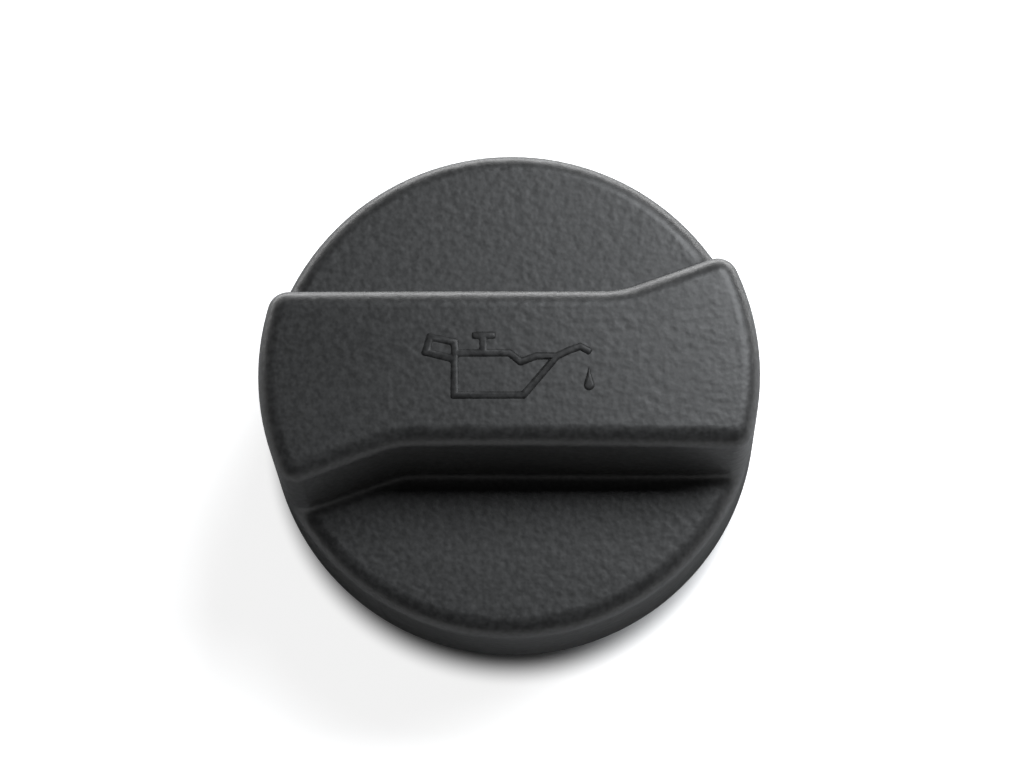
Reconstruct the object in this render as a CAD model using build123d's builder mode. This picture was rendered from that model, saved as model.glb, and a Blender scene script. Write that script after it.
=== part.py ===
from build123d import *
import os
from math import cos, radians, tan

# Oil filler cap with a quarter-turn bayonet: a hollow moulded cover with a kinked grip bar,
# an inner plug that snaps up into it, and the rubber ring that seals on the filler neck.
# The cap stands on the plug's end: +Z is up, the bar lies along X, the origin is on the axis.

# Cover
cover_dia = 68.0  # across the foot of the skirt
skirt_depth = 17.5  # from the top of the disc down to the skirt's foot
skirt_draft = 3.4  # degrees
cover_wall = 2.5
rim_radius = 2.7  # rounding of the disc's rim and of the bar's edges
skirt_foot_radius = 0.8
skirt_lead_in = 0.8  # chamfer inside the skirt's foot, where the plug goes in

# Grip bar
grip_height = 14.8  # above the disc, at the middle of the bar
grip_crown_radius = 600.0  # the bar's top falls off along its length by this radius
grip_width = 23.7  # between the straight walls where they meet the disc, before rounding
grip_draft = 7.4  # degrees, on both long walls
kink_reach = 14.0  # from the axis to the bend in each long wall
kink_angle = 20.0  # degrees that each wall turns outwards there
kink_radius = 12.0  # where the wall meets the disc
grip_foot_radius = 1.8

# Snap beads inside the skirt
bead_count = 6
bead_arc = 24.0  # degrees
bead_reach = 0.8  # in from the skirt's wall
bead_land = 0.6
bead_ramp = 1.6

# Plug
plug_clearance = 0.2  # between the plug and the inside of the cover
flange_thickness = 3.0
neck_dia = 39.0
neck_wall = 2.5
neck_reach = 16.0  # below the skirt's foot
pilot_length = 5.0  # the neck's guiding end, below the lugs
pilot_step = 0.8  # in from the neck
pilot_chamfer = 0.6
key_height = 10.0  # of the drive key that stands up inside the bar
key_corner_radius = 4.0

# Bayonet lugs
lug_count = 2
lug_arc = 52.0  # degrees
lug_reach = 3.0  # out from the neck
lug_height = 4.5
lug_ramp_length = 8.0  # lead-in at the end that turns into the filler neck first
lug_ramp_drop = 1.6
lug_corner_radius = 1.0

# Sealing ring
seal_width = 5.5
seal_thickness = 3.2
seal_bead_radius = 1.1  # half-round lip under the ring
seal_chamfer = 0.4
seal_clearance = 0.1  # between the ring and the neck

# Levels
foot_level = neck_reach
disc_level = foot_level + skirt_depth
grip_level = disc_level + grip_height
flange_top = disc_level - cover_wall
flange_foot = flange_top - flange_thickness

# Radii
neck_radius = neck_dia / 2
pilot_radius = neck_radius - pilot_step
bore_radius = neck_radius - neck_wall
lug_level = pilot_length + pilot_step
seal_middle = neck_radius + seal_clearance + seal_width / 2


def skirt_radius(level, inset):
    """Radius of the skirt's cone at a level, moved in from the outside by an inset."""
    rise = level - foot_level
    return cover_dia / 2 - rise * tan(radians(skirt_draft)) - inset / cos(radians(skirt_draft))


def grip_half_width(level, inset):
    """Half width of the straight bar at a level, moved in from the outside by an inset."""
    rise = level - disc_level
    return grip_width / 2 - rise * tan(radians(grip_draft)) - inset / cos(radians(grip_draft))


def cover_form(inset):
    """The cover's form with sharp edges, moved in by an inset: its outside or its hollow."""
    top = grip_level - inset
    disc = disc_level - inset
    half_width = grip_half_width(disc, inset)
    draw_in = grip_width / 2 - half_width
    kink = kink_reach + draw_in * tan(radians(kink_angle / 2))
    reach = cover_dia
    spread = (reach - kink) * tan(radians(kink_angle))
    # Valley behind the bar, which is turned half round for the one in front
    with BuildPart() as valley:
        with BuildSketch(Plane.XY.offset(disc)):
            with BuildLine():
                wall_line = FilletPolyline(
                    (-reach, half_width),
                    (kink, half_width),
                    (reach, half_width + spread),
                    radius=kink_radius + draw_in,
                )
                Polyline(wall_line @ 1, (reach, reach), (-reach, reach), wall_line @ 0)
            make_face()
        extrude(amount=top - disc)
        bar_walls = valley.faces().filter_by(Axis.Z, reverse=True).sort_by(Axis.Y)[:3]
        draft(bar_walls, Plane.XY.offset(disc), -grip_draft)
    # One cone from the skirt's foot to the bar's top, so that the bar's ends are flush with the skirt
    with BuildPart() as form:
        with BuildSketch(Plane.YZ):
            with BuildLine():
                Polyline(
                    (0, foot_level),
                    (skirt_radius(foot_level, inset), foot_level),
                    (skirt_radius(top, inset), top),
                    (0, top),
                    close=True,
                )
            make_face()
        revolve(axis=Axis.Z)
        with PolarLocations(0, 2):
            add(valley.part, mode=Mode.SUBTRACT)
        with BuildSketch(Plane.XZ):
            with Locations((0, grip_level - grip_crown_radius)):
                Circle(grip_crown_radius - inset)
        extrude(amount=reach, both=True, mode=Mode.INTERSECT)
    return form.part


def key_form(foot, inset):
    """The drive key's form from a foot level up, moved in by an inset: its outside or its hollow."""
    top = flange_top + key_height - inset
    half_width = grip_half_width(foot, cover_wall + plug_clearance + inset)
    with BuildPart() as form:
        with BuildSketch(Plane.XY.offset(foot)) as outline:
            Circle(bore_radius - inset)
            Rectangle(2 * bore_radius, 2 * half_width, mode=Mode.INTERSECT)
            fillet(outline.vertices(), radius=key_corner_radius - inset)
        extrude(amount=top - foot)
        draft(form.faces().filter_by(Axis.Z, reverse=True), Plane.XY.offset(foot), grip_draft)
    return form.part


# Snap bead, one of the ring that holds the plug's flange up against the disc
bead_root = skirt_radius(flange_foot, cover_wall)
with BuildPart() as bead:
    with BuildSketch(Plane.XZ):
        with BuildLine():
            Polyline(
                (bead_root + cover_wall / 2, flange_foot),
                (bead_root - bead_reach, flange_foot),
                (bead_root - bead_reach, flange_foot - bead_land),
                (bead_root, flange_foot - bead_land - bead_ramp),
                (bead_root + cover_wall / 2, flange_foot - bead_land - bead_ramp),
                close=True,
            )
        make_face()
    revolve(axis=Axis.Z, revolution_arc=bead_arc)

# Cover: the bar's foot is rounded first, then the rim and the bar's edges as one chain
outside = cover_form(0.0)
hollow = cover_form(cover_wall)
with BuildPart() as cover:
    add(outside)
    at_disc = cover.edges().filter_by_position(Axis.Z, disc_level, disc_level)
    rim_arcs = at_disc.filter_by(GeomType.CIRCLE).group_by(SortBy.RADIUS)[-1]
    fillet(at_disc - rim_arcs, radius=grip_foot_radius)
    skirt = cover.faces().filter_by(GeomType.CONE).sort_by(SortBy.AREA)[-1]
    skirt_edges = skirt.edges().filter_by(GeomType.LINE, reverse=True).sort_by(Axis.Z)
    bar_top = cover.faces().sort_by(Axis.Z)[-1]
    fillet(set(skirt_edges[1:]) | set(bar_top.edges()), radius=rim_radius)
    add(hollow, mode=Mode.SUBTRACT)
    foot_inside, foot_outside = cover.edges().group_by(Axis.Z)[0].sort_by(SortBy.RADIUS)
    fillet(foot_outside, radius=skirt_foot_radius)
    chamfer(foot_inside, length=skirt_lead_in)
    with PolarLocations(0, bead_count):
        add(bead.part)
cover.part.label = "cover"

# Bayonet lug, with its lead-in ramp on the end that goes first when the cap is turned clockwise
with BuildPart() as lug:
    with BuildSketch(Plane.XZ):
        with Locations((neck_radius - neck_wall / 2, lug_level)):
            Rectangle(neck_wall / 2 + lug_reach, lug_height, align=Align.MIN)
    revolve(axis=Axis.Z, revolution_arc=lug_arc)
    lead_end = lug.faces().filter_by(Axis.Y)[0]
    lead_edge = lead_end.edges().sort_by(Axis.Z)[-1]
    chamfer(lead_edge, length=lug_ramp_drop, length2=lug_ramp_length, reference=lead_end)
    outer_corners = lug.edges().filter_by(Axis.Z).sort_by_distance((0, 0, lug_level))[-2:]
    fillet(outer_corners, radius=lug_corner_radius)

# Plug
flange_radius = skirt_radius(flange_top, cover_wall) - plug_clearance
key_outside = key_form(flange_top, 0.0)
key_hollow = key_form(flange_foot, neck_wall)
with BuildPart() as bayonet_plug:
    with BuildSketch(Plane.YZ):
        with BuildLine():
            Polyline(
                (bore_radius, 0),
                (pilot_radius - pilot_chamfer, 0),
                (pilot_radius, pilot_chamfer),
                (pilot_radius, pilot_length),
                (neck_radius, lug_level),
                (neck_radius, flange_foot),
                (flange_radius, flange_foot),
                (flange_radius, flange_top),
                (0, flange_top),
                (0, flange_foot),
                (bore_radius, flange_foot),
                close=True,
            )
        make_face()
    revolve(axis=Axis.Z)
    add(key_outside)
    add(key_hollow, mode=Mode.SUBTRACT)
    with PolarLocations(0, lug_count, start_angle=-lug_arc / 2):
        add(lug.part)
bayonet_plug.part.label = "bayonet_plug"

# Sealing ring
with BuildPart() as sealing_ring:
    with BuildSketch(Plane.YZ) as section:
        with Locations((seal_middle, flange_foot - seal_thickness / 2)):
            Rectangle(seal_width, seal_thickness)
        chamfer(section.vertices(), length=seal_chamfer)
        with Locations((seal_middle, flange_foot - seal_thickness)):
            Circle(seal_bead_radius)
    revolve(axis=Axis.Z)
sealing_ring.part.label = "sealing_ring"

os.makedirs("parts", exist_ok=True)
export_step(cover.part, "parts/cover.step")
export_step(bayonet_plug.part, "parts/bayonet_plug.step")
export_step(sealing_ring.part, "parts/sealing_ring.step")
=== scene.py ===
"""Looks of an oil filler cap: its finishes, the sign moulded on its grip bar, the studio and the camera."""

import logging
from dataclasses import dataclass, replace
from enum import Enum
from math import cos, pi, radians, sin, sqrt

import bmesh
import bpy
from mathutils import Matrix, Vector


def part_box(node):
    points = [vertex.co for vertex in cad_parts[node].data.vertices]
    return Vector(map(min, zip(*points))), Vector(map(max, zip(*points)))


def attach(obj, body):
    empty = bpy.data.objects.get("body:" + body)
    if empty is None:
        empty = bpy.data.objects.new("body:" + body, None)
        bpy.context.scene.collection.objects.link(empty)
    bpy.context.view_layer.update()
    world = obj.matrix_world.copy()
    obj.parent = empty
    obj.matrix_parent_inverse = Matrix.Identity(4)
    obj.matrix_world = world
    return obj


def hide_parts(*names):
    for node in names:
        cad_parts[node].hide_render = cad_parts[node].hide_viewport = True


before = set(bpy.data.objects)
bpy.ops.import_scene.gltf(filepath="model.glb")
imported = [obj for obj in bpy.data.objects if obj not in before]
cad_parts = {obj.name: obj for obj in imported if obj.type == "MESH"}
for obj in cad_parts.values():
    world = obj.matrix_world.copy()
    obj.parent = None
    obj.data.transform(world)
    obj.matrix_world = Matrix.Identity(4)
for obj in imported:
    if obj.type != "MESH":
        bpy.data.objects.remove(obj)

LOG = logging.getLogger("oil_filler_cap")
MM = 0.001
BODY = "root"
IMAGE_WIDTH = 1024
IMAGE_HEIGHT = 770

Colour = tuple[float, float, float, float]
Point = tuple[float, float]


def grey(level: float) -> Colour:
    """Gives a neutral colour of one linear level."""
    return (level, level, level, 1.0)


def finished(name: str, mesh: bmesh.types.BMesh) -> bpy.types.Object:
    """Turns a bmesh into an object that stands at the origin of the scene.

    Args:
        name: The object's name.
        mesh: The object's bmesh, which is freed.

    Returns:
        The new object.
    """
    data = bpy.data.meshes.new(name)
    mesh.to_mesh(data)
    mesh.free()
    piece = bpy.data.objects.new(name, data)
    bpy.context.scene.collection.objects.link(piece)
    return piece


@dataclass(frozen=True)
class Noise:
    """One noise of the grain, with its pitch as a multiple of the grain's own."""

    times: float
    detail: float


@dataclass(frozen=True)
class GrainGroup:
    """Node group of the fine spark-eroded grain that a mould leaves on plastic."""

    name: str = "moulded_grain"
    lumps: Noise = Noise(times=1.0, detail=1.0)
    specks: Noise = Noise(times=1.7, detail=1.0)
    cloud: Noise = Noise(times=0.08, detail=3.0)
    speck_share: float = 0.2
    speck_range: tuple[float, float] = (0.35, 0.65)
    usual_pitch: float = 2000.0

    def tree(self) -> bpy.types.NodeTree:
        """Gives the group, and builds it when it is first asked for.

        Returns:
            The shader node group, with Coordinates and Pitch in and Height, Speckle and Cloud out.
        """
        group = bpy.data.node_groups.get(self.name)
        if group is None:
            group = bpy.data.node_groups.new(self.name, "ShaderNodeTree")
            self._sockets(group)
            self._nodes(group)
        return group

    def _sockets(self, group: bpy.types.NodeTree) -> None:
        """Makes the group's named inputs and outputs.

        Args:
            group: The empty node group.
        """
        group.interface.new_socket("Coordinates", in_out="INPUT", socket_type="NodeSocketVector")
        pitch = group.interface.new_socket("Pitch", in_out="INPUT", socket_type="NodeSocketFloat")
        pitch.default_value = self.usual_pitch
        for name in ("Height", "Speckle", "Cloud"):
            group.interface.new_socket(name, in_out="OUTPUT", socket_type="NodeSocketFloat")

    def _nodes(self, group: bpy.types.NodeTree) -> None:
        """Wires lumps and finer specks into a height, and slow noise into a cloud.

        Args:
            group: The node group with its sockets.
        """
        nodes, links = group.nodes, group.links
        given = nodes.new("NodeGroupInput")
        out = nodes.new("NodeGroupOutput")
        lumps, specks, cloud = (
            self._noise(group, given, noise) for noise in (self.lumps, self.specks, self.cloud)
        )
        height = nodes.new("ShaderNodeMix")
        height.data_type = "FLOAT"
        height.inputs["Factor"].default_value = self.speck_share
        links.new(lumps, height.inputs["A"])
        links.new(specks, height.inputs["B"])
        links.new(height.outputs["Result"], out.inputs["Height"])
        spread = nodes.new("ShaderNodeMapRange")
        spread.inputs["From Min"].default_value, spread.inputs["From Max"].default_value = self.speck_range
        links.new(specks, spread.inputs["Value"])
        links.new(spread.outputs["Result"], out.inputs["Speckle"])
        links.new(cloud, out.inputs["Cloud"])

    def _noise(self, group: bpy.types.NodeTree, given: bpy.types.Node, noise: Noise) -> bpy.types.NodeSocket:
        """Makes one noise at its multiple of the group's pitch.

        Args:
            group: The node group.
            given: The group's input node.
            noise: The noise.

        Returns:
            The noise's value.
        """
        pitch = group.nodes.new("ShaderNodeMath")
        pitch.operation = "MULTIPLY"
        pitch.inputs[1].default_value = noise.times
        group.links.new(given.outputs["Pitch"], pitch.inputs[0])
        texture = group.nodes.new("ShaderNodeTexNoise")
        texture.inputs["Detail"].default_value = noise.detail
        group.links.new(given.outputs["Coordinates"], texture.inputs["Vector"])
        group.links.new(pitch.outputs["Value"], texture.inputs["Scale"])
        return texture.outputs["Fac"]


@dataclass(frozen=True)
class GrainedFinish:
    """A moulded surface whose grain varies its colour, gloss and relief."""

    name: str
    dark: Colour
    light: Colour
    roughness_low: float
    roughness_high: float
    grain_size: float
    grain_depth: float
    specular: float = 0.5
    cloud_range: tuple[float, float] = (0.3, 0.7)

    def material(self) -> bpy.types.Material:
        """Builds the material.

        Returns:
            The finished material.
        """
        material = bpy.data.materials.new(self.name)
        material.use_nodes = True
        nodes, links = material.node_tree.nodes, material.node_tree.links
        shader = nodes["Principled BSDF"]
        shader.inputs["Specular IOR Level"].default_value = self.specular

        place = nodes.new("ShaderNodeTexCoord")
        grain = nodes.new("ShaderNodeGroup")
        grain.node_tree = GrainGroup().tree()
        grain.inputs["Pitch"].default_value = 1.0 / self.grain_size
        links.new(place.outputs["Object"], grain.inputs["Coordinates"])

        tone = nodes.new("ShaderNodeMix")
        tone.data_type = "RGBA"
        tone.inputs["A"].default_value = self.dark
        tone.inputs["B"].default_value = self.light
        links.new(grain.outputs["Speckle"], tone.inputs["Factor"])
        links.new(tone.outputs["Result"], shader.inputs["Base Color"])

        gloss = nodes.new("ShaderNodeMapRange")
        gloss.inputs["From Min"].default_value, gloss.inputs["From Max"].default_value = self.cloud_range
        gloss.inputs["To Min"].default_value = self.roughness_low
        gloss.inputs["To Max"].default_value = self.roughness_high
        links.new(grain.outputs["Cloud"], gloss.inputs["Value"])
        links.new(gloss.outputs["Result"], shader.inputs["Roughness"])

        relief = nodes.new("ShaderNodeBump")
        relief.inputs["Strength"].default_value = 1.0
        relief.inputs["Distance"].default_value = self.grain_depth
        links.new(grain.outputs["Height"], relief.inputs["Height"])
        links.new(relief.outputs["Normal"], shader.inputs["Normal"])
        return material


COVER_FINISH = GrainedFinish(
    name="grained_cover",
    dark=grey(0.019),
    light=grey(0.036),
    roughness_low=0.42,
    roughness_high=0.49,
    grain_size=1.3 * MM,
    grain_depth=0.08 * MM,
)
SIGN_FINISH = replace(COVER_FINISH, name="dull_sign", specular=0.25)
PLUG_FINISH = GrainedFinish(
    name="smooth_plug",
    dark=grey(0.019),
    light=grey(0.03),
    roughness_low=0.34,
    roughness_high=0.44,
    grain_size=0.3 * MM,
    grain_depth=0.01 * MM,
)
SEAL_FINISH = GrainedFinish(
    name="dull_rubber",
    dark=grey(0.012),
    light=grey(0.024),
    roughness_low=0.62,
    roughness_high=0.78,
    grain_size=0.25 * MM,
    grain_depth=0.008 * MM,
    specular=0.4,
)


@dataclass
class OilCanSign:
    """The raised oil-can sign on top of the grip bar, drawn as strokes of one width along centre lines."""

    top: float
    crown_radius: float = 600.0 * MM
    height: float = 0.19 * MM
    sink: float = 0.8 * MM
    stroke: float = 1.12 * MM
    edge_round: float = 0.4 * MM
    round_steps: int = 4
    round_angle: float = radians(50.0)
    can_left: float = -6.83 * MM
    can_foot: float = -3.93 * MM
    can_foot_right: float = 1.95 * MM
    can_shoulder: float = 1.56 * MM
    shoulder_right: float = 0.17 * MM
    shoulder_dip: Point = (1.57 * MM, 0.39 * MM)
    spout_root: Point = (3.55 * MM, 1.17 * MM)
    spout_tip: Point = (6.15 * MM, 1.15 * MM)
    lip_rise: Point = (7.82 * MM, 1.95 * MM)
    lip_top: Point = (9.16 * MM, 2.43 * MM)
    lip_end: Point = (10.63 * MM, 1.63 * MM)
    handle_foot: float = 0.75 * MM
    handle_top: float = 2.99 * MM
    handle_back_top: Point = (-9.98 * MM, 3.67 * MM)
    handle_back_foot: Point = (-10.55 * MM, 1.69 * MM)
    knob_left: float = -4.75 * MM
    knob_middle: float = -3.22 * MM
    knob_right: float = -1.56 * MM
    knob_top: float = 3.87 * MM
    drop_middle: Point = (10.27 * MM, -2.6 * MM)
    drop_radius: float = 0.76 * MM
    drop_reach: float = 2.75 * MM
    drop_segments: int = 32

    def build(self) -> list[bpy.types.Object]:
        """Makes the can and its falling drop, and gives both pieces."""
        return [self._can(), self._drop()]

    def _level(self, along: float) -> float:
        """Gives the height of the strokes' top, which follows the bar's crown, at a place along the bar."""
        return self.top - along ** 2 / (2.0 * self.crown_radius)

    def _lines(self) -> list[list[Point]]:
        """Lays out the centre lines of the can, its handle, its pouring lip and its lid knob.

        Returns:
            The lines, each as its points in order.
        """
        corner = (self.can_left, self.can_foot)
        shoulder = (self.can_left, self.can_shoulder)
        handle_foot = (self.can_left, self.handle_foot)
        knob_foot = (self.knob_middle, self.can_shoulder)
        knob = (self.knob_middle, self.knob_top)
        can = [
            corner,
            (self.can_foot_right, self.can_foot),
            self.spout_tip,
            self.spout_root,
            self.shoulder_dip,
            (self.shoulder_right, self.can_shoulder),
            knob_foot,
            shoulder,
            handle_foot,
            corner,
        ]
        handle = [
            shoulder,
            (self.can_left, self.handle_top),
            self.handle_back_top,
            self.handle_back_foot,
            handle_foot,
        ]
        lip = [self.spout_tip, self.lip_rise, self.lip_top, self.lip_end]
        lid = [(self.knob_left, self.knob_top), knob, (self.knob_right, self.knob_top)]
        return [can, handle, lip, [knob_foot, knob], lid]

    def _can(self) -> bpy.types.Object:
        """Draws the can as upright strips along its centre lines, thickened to strokes.

        Returns:
            The can's object.
        """
        depth = self.height + self.sink
        mesh = bmesh.new()
        corners: dict[Point, bmesh.types.BMVert] = {}
        for line in self._lines():
            for point in line:
                if point not in corners:
                    corners[point] = mesh.verts.new((*point, self._level(point[0]) - depth))
            for start, end in zip(line, line[1:]):
                mesh.edges.new((corners[start], corners[end]))
        raised = bmesh.ops.extrude_edge_only(mesh, edges=mesh.edges[:])["geom"]
        tops = [item for item in raised if isinstance(item, bmesh.types.BMVert)]
        bmesh.ops.translate(mesh, verts=tops, vec=(0.0, 0.0, depth))
        piece = finished("oil_can_sign", mesh)
        self._thicken(piece)
        return piece

    def _thicken(self, piece: bpy.types.Object) -> None:
        """Thickens upright strips to strokes with rounded edges.

        Args:
            piece: The strips' object.
        """
        strokes = piece.modifiers.new("strokes", "SOLIDIFY")
        strokes.solidify_mode = "NON_MANIFOLD"
        strokes.nonmanifold_thickness_mode = "CONSTRAINTS"
        strokes.thickness = self.stroke
        strokes.offset = 0.0
        bevel = piece.modifiers.new("soft_edges", "BEVEL")
        bevel.width = self.edge_round
        bevel.segments = self.round_steps
        bevel.limit_method = "ANGLE"
        bevel.angle_limit = self.round_angle
        bevel.use_clamp_overlap = False
        piece.data.shade_smooth()

    def _drop(self) -> bpy.types.Object:
        """Makes the falling drop, a disc drawn out along two tangents to a point, with a rounded upper edge.

        Returns:
            The drop's object.
        """
        mesh = bmesh.new()
        top = self._level(self.drop_middle[0])
        foot = top - self.height - self.sink
        bmesh.ops.create_circle(mesh, cap_ends=True, segments=self.drop_segments, radius=self.drop_radius)
        tangent_rise = sqrt(self.drop_reach ** 2 - self.drop_radius ** 2) / self.drop_radius
        for vert in mesh.verts:
            if vert.co.y > self.drop_radius ** 2 / self.drop_reach:
                vert.co.y = self.drop_reach - abs(vert.co.x) * tangent_rise
        bmesh.ops.translate(mesh, verts=mesh.verts[:], vec=(*self.drop_middle, foot))
        middle = Matrix.Translation((-self.drop_middle[0], -self.drop_middle[1], 0.0))
        crown = mesh.faces[:]
        size, level = 1.0, foot
        for step in range(self.round_steps + 1):
            turn = radians(90.0 * step / self.round_steps)
            next_size = 1.0 - self.edge_round * (1.0 - cos(turn)) / self.drop_radius
            next_level = top - self.edge_round * (1.0 - sin(turn))
            raised = bmesh.ops.extrude_face_region(mesh, geom=crown)["geom"]
            # The first face stays as the drop's foot
            bmesh.ops.delete(mesh, geom=crown if step else [], context="FACES_ONLY")
            crown = [item for item in raised if isinstance(item, bmesh.types.BMFace)]
            rim = [item for item in raised if isinstance(item, bmesh.types.BMVert)]
            shrink = next_size / size
            bmesh.ops.scale(mesh, verts=rim, vec=(shrink, shrink, 1.0), space=middle)
            bmesh.ops.translate(mesh, verts=rim, vec=(0.0, 0.0, next_level - level))
            size, level = next_size, next_level
        bmesh.ops.recalc_face_normals(mesh, faces=mesh.faces[:])
        piece = finished("oil_drop_sign", mesh)
        piece.data.shade_smooth()
        return piece


@dataclass
class Cover:
    """The outer moulding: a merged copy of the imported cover, with the sign on its grip bar."""

    node: str = "cover"
    merge_distance: float = 0.0001 * MM
    sharp_angle: float = radians(35.0)
    set_down_depth: float = 8.0 * MM
    flat_weight: int = 90

    def build(self) -> list[bpy.types.Object]:
        """Makes the cover and its sign.

        Returns:
            The pieces of the cover.
        """
        sign = OilCanSign(top=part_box(self.node)[1].z)
        shell = self._shell(sign.height)
        strokes = sign.build()
        self._dress([shell], COVER_FINISH)
        self._dress(strokes, SIGN_FINISH)
        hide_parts(self.node)
        return [shell, *strokes]

    def _dress(self, pieces: list[bpy.types.Object], finish: GrainedFinish) -> None:
        """Gives pieces of the cover one finish and fixes them to the cap.

        Args:
            pieces: The pieces.
            finish: Their finish.
        """
        material = finish.material()
        for piece in pieces:
            piece.data.materials.clear()
            piece.data.materials.append(material)
            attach(piece, BODY)

    def _shell(self, drop: float) -> bpy.types.Object:
        """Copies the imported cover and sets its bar's top down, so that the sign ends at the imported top.

        Args:
            drop: How far the bar's top comes down.

        Returns:
            The cover's object.
        """
        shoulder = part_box(self.node)[1].z - self.set_down_depth
        mesh = bmesh.new()
        mesh.from_mesh(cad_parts[self.node].data)
        bmesh.ops.remove_doubles(mesh, verts=mesh.verts[:], dist=self.merge_distance)
        for vert in mesh.verts:
            if vert.co.z > shoulder:
                vert.co.z -= drop * (vert.co.z - shoulder) / self.set_down_depth
        for face in mesh.faces:
            face.smooth = True
        for edge in mesh.edges:
            edge.smooth = edge.is_manifold and edge.calc_face_angle() < self.sharp_angle
        shell = finished("cap_cover", mesh)
        shading = shell.modifiers.new("even_shading", "WEIGHTED_NORMAL")
        shading.keep_sharp = True
        shading.weight = self.flat_weight
        return shell


@dataclass
class Insert:
    """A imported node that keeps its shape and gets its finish."""

    node: str
    finish: GrainedFinish

    def build(self) -> list[bpy.types.Object]:
        """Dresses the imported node.

        Returns:
            The node's object, alone in a list.
        """
        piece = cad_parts[self.node]
        material = self.finish.material()
        for place in piece.material_slots:
            place.material = material
        return [piece]


class Sight(Enum):
    """Kinds of ray, by the Light Path outputs that mark them."""

    SEEN = ("Is Camera Ray",)
    MIRRORED = ("Is Glossy Ray", "Is Transmission Ray")


class Join(Enum):
    """Ways of joining two values in a maths node."""

    SUM = "ADD"
    PRODUCT = "MULTIPLY"
    LARGER = "MAXIMUM"


@dataclass(frozen=True)
class Ring:
    """A strength that one kind of ray meets, going softly from an inner to an outer value."""

    sight: Sight
    near: float
    far: float
    inner: float
    outer: float


@dataclass
class ShaderValues:
    """A shader tree in which values are worked out."""

    tree: bpy.types.NodeTree

    def joined(
        self, way: Join, first: bpy.types.NodeSocket, second: bpy.types.NodeSocket
    ) -> bpy.types.NodeSocket:
        """Joins two values in a maths node.

        Args:
            way: How they are joined.
            first: The first value.
            second: The second value.

        Returns:
            The result.
        """
        maths = self.tree.nodes.new("ShaderNodeMath")
        maths.operation = way.value
        self.tree.links.new(first, maths.inputs[0])
        self.tree.links.new(second, maths.inputs[1])
        return maths.outputs["Value"]

    def rays(self, sight: Sight) -> bpy.types.NodeSocket:
        """Tells one kind of ray from the others.

        Args:
            sight: The kind of ray.

        Returns:
            A value of 1 for these rays and 0 for others.
        """
        path = self.tree.nodes.new("ShaderNodeLightPath")
        marked, *others = (path.outputs[name] for name in sight.value)
        for other in others:
            marked = self.joined(Join.LARGER, marked, other)
        return marked

    def ring(self, place: bpy.types.NodeSocket, ring: Ring) -> bpy.types.NodeSocket:
        """Works out a ring's strength.

        Args:
            place: The distance or height that the ring's near and far ends are counted in.
            ring: The ring.

        Returns:
            The strength, which is 0 for other kinds of ray.
        """
        ramp = self.tree.nodes.new("ShaderNodeMapRange")
        ramp.interpolation_type = "SMOOTHSTEP"
        ramp.inputs["From Min"].default_value = ring.near
        ramp.inputs["From Max"].default_value = ring.far
        ramp.inputs["To Min"].default_value = ring.inner
        ramp.inputs["To Max"].default_value = ring.outer
        self.tree.links.new(place, ramp.inputs["Value"])
        return self.joined(Join.PRODUCT, ramp.outputs["Result"], self.rays(ring.sight))


@dataclass(frozen=True)
class Lamp:
    """A soft studio panel, which faces down at a tip of 0 degrees and up at 180."""

    name: str
    place: tuple[float, float, float]
    width: float
    length: float
    tip: float
    radiance: float
    tint: tuple[float, float, float] = (1.0, 1.0, 1.0)

    def build(self) -> None:
        """Sets the panel up in the studio."""
        data = bpy.data.lights.new(self.name, "AREA")
        data.shape = "RECTANGLE"
        data.size = self.width
        data.size_y = self.length
        data.energy = self.radiance * self.width * self.length * pi
        data.color = self.tint
        lamp = bpy.data.objects.new(self.name, data)
        lamp.location = self.place
        lamp.rotation_euler.x = radians(self.tip)
        bpy.context.scene.collection.objects.link(lamp)


def direction(azimuth: float, elevation: float) -> Vector:
    """Gives a unit vector from degrees round from the right towards the back and degrees upwards."""
    turn, tilt = radians(azimuth), radians(elevation)
    return Vector((cos(tilt) * cos(turn), cos(tilt) * sin(turn), sin(tilt)))


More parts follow.
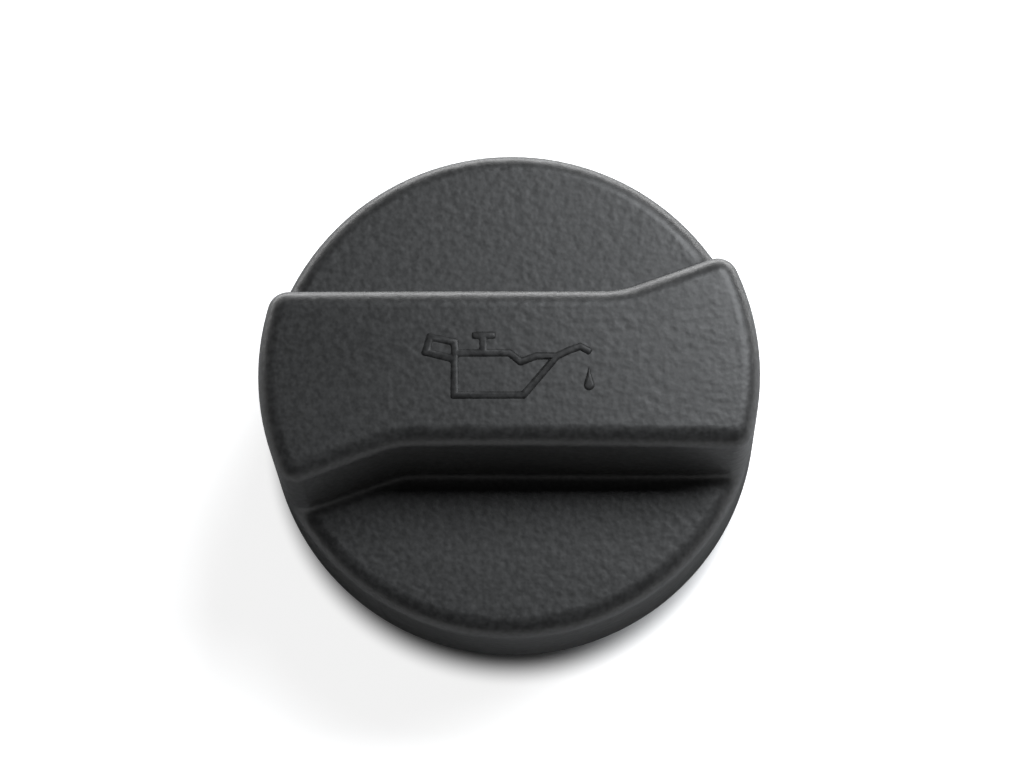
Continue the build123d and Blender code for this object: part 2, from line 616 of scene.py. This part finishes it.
@dataclass
class Studio:
    """The white floor, the dim room, the soft panels and the camera."""

    floor_size: float = 6.0
    floor_colour: float = 0.9
    # The floor is white from close round the skirt for the camera, and from farther out in reflections
    white_rings: tuple[Ring, ...] = (
        Ring(Sight.SEEN, near=32.4 * MM, far=37.2 * MM, inner=0.0, outer=0.86),
        Ring(Sight.SEEN, near=250.0 * MM, far=1000.0 * MM, inner=0.0, outer=0.14),
        Ring(Sight.MIRRORED, near=60.0 * MM, far=220.0 * MM, inner=0.0, outer=0.86),
    )
    # Painted shadow: the floor under the cap and close round it is painted black for mirrored rays, so that
    # it is dark in reflections
    painted_shadow_ring: Ring = Ring(Sight.MIRRORED, near=43.0 * MM, far=54.0 * MM, inner=1.0, outer=0.0)
    # Counted in the upward part of the direction
    horizon: Ring = Ring(Sight.MIRRORED, near=0.0, far=0.2, inner=1.0, outer=0.0)
    room_light: float = 0.035
    key_panel: Lamp = Lamp(
        "key_panel",
        place=(0.24, 0.201, 0.384),
        width=0.36,
        length=0.228,
        tip=0.0,
        radiance=12.0,
        tint=(0.97, 1.0, 1.03),
    )
    # Lies on the floor behind the cap, where the bar's far edge mirrors it
    back_sheet: Lamp = Lamp(
        "back_sheet",
        place=(0.0, 0.22, 0.002),
        width=1.0,
        length=0.24,
        tip=180.0,
        radiance=7.0,
    )
    camera_azimuth: float = -85.34
    camera_elevation: float = 77.93
    camera_distance: float = 300.0 * MM
    camera_nearest: float = 10.0 * MM
    sensor_width: float = 36.0
    focal_pixels: float = 2247.0
    disc_pixel: tuple[float, float] = (510.2, 388.8)
    disc_above_foot: float = 17.5 * MM

    def build(self) -> None:
        """Sets up everything round the cap."""
        aim = Vector((0.0, 0.0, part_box("cover")[0].z + self.disc_above_foot))
        self._floor()
        self._surroundings()
        self.key_panel.build()
        self.back_sheet.build()
        self._camera(aim)
        bpy.context.scene.view_settings.view_transform = "Standard"

    def _floor(self) -> None:
        """Lays the white floor."""
        mesh = bmesh.new()
        bmesh.ops.create_grid(mesh, x_segments=1, y_segments=1, size=self.floor_size / 2)
        floor = finished("floor", mesh)
        floor.data.materials.append(self._floor_material())

    def _floor_material(self) -> bpy.types.Material:
        """Builds the floor's pale material, which is shown white by its rings and painted black near the cap
        for mirrored rays as a painted shadow.

        Returns:
            The finished material.
        """
        material = bpy.data.materials.new("white_floor")
        material.use_nodes = True
        nodes, links = material.node_tree.nodes, material.node_tree.links
        shader = nodes["Principled BSDF"]
        shader.inputs["Roughness"].default_value = 1.0
        shader.inputs["Specular IOR Level"].default_value = 0.0
        shader.inputs["Emission Color"].default_value = grey(1.0)

        values = ShaderValues(material.node_tree)
        place = nodes.new("ShaderNodeTexCoord")
        away = nodes.new("ShaderNodeVectorMath")
        away.operation = "LENGTH"
        links.new(place.outputs["Object"], away.inputs[0])

        glow, *others = (values.ring(away.outputs["Value"], ring) for ring in self.white_rings)
        for other in others:
            glow = values.joined(Join.SUM, glow, other)
        links.new(glow, shader.inputs["Emission Strength"])

        colour = nodes.new("ShaderNodeMix")
        colour.data_type = "RGBA"
        colour.inputs["A"].default_value = grey(self.floor_colour)
        colour.inputs["B"].default_value = grey(0.0)
        # Painted shadow: the floor's colour turns black near the cap for mirrored rays only
        links.new(values.ring(away.outputs["Value"], self.painted_shadow_ring), colour.inputs["Factor"])
        links.new(colour.outputs["Result"], shader.inputs["Base Color"])
        return material

    def _surroundings(self) -> None:
        """Fills the room with dim even light, white where it is seen or mirrored near the horizon."""
        world = bpy.data.worlds.new("studio")
        world.use_nodes = True
        nodes, links = world.node_tree.nodes, world.node_tree.links
        values = ShaderValues(world.node_tree)
        place = nodes.new("ShaderNodeTexCoord")
        axes = nodes.new("ShaderNodeSeparateXYZ")
        links.new(place.outputs["Generated"], axes.inputs["Vector"])
        horizon = values.ring(axes.outputs["Z"], self.horizon)
        shade = nodes.new("ShaderNodeMix")
        shade.data_type = "RGBA"
        shade.inputs["A"].default_value = grey(self.room_light)
        shade.inputs["B"].default_value = grey(1.0)
        links.new(values.joined(Join.LARGER, values.rays(Sight.SEEN), horizon), shade.inputs["Factor"])
        links.new(shade.outputs["Result"], nodes["Background"].inputs["Color"])
        bpy.context.scene.world = world

    def _camera(self, aim: Vector) -> None:
        """Sets the camera where the photograph was taken from.

        Args:
            aim: The middle of the disc, which shows at the disc's pixel.
        """
        back = direction(self.camera_azimuth, self.camera_elevation)
        bar = Vector((1.0, 0.0, 0.0))
        right = (bar - bar.project(back)).normalized()
        data = bpy.data.cameras.new("camera")
        data.sensor_width = self.sensor_width
        data.lens = self.sensor_width * self.focal_pixels / IMAGE_WIDTH
        data.shift_x = (IMAGE_WIDTH / 2 - self.disc_pixel[0]) / IMAGE_WIDTH
        data.shift_y = (self.disc_pixel[1] - IMAGE_HEIGHT / 2) / IMAGE_WIDTH
        data.clip_start = self.camera_nearest
        camera = bpy.data.objects.new("camera", data)
        camera.rotation_euler = Matrix((right, back.cross(right), back)).transposed().to_euler()
        camera.location = aim + self.camera_distance * back
        bpy.context.scene.collection.objects.link(camera)
        bpy.context.scene.camera = camera


def main() -> None:
    """Dresses the cap, sets up the studio and reports each piece."""
    logging.basicConfig(level=logging.INFO, format="%(name)s: %(message)s")
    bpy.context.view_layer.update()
    for assembly in (Cover(), Insert("bayonet_plug", PLUG_FINISH), Insert("sealing_ring", SEAL_FINISH)):
        for piece in assembly.build():
            LOG.info("%s: %d faces", piece.name, len(piece.data.polygons))
    Studio().build()


if __name__ == "__main__":
    main()
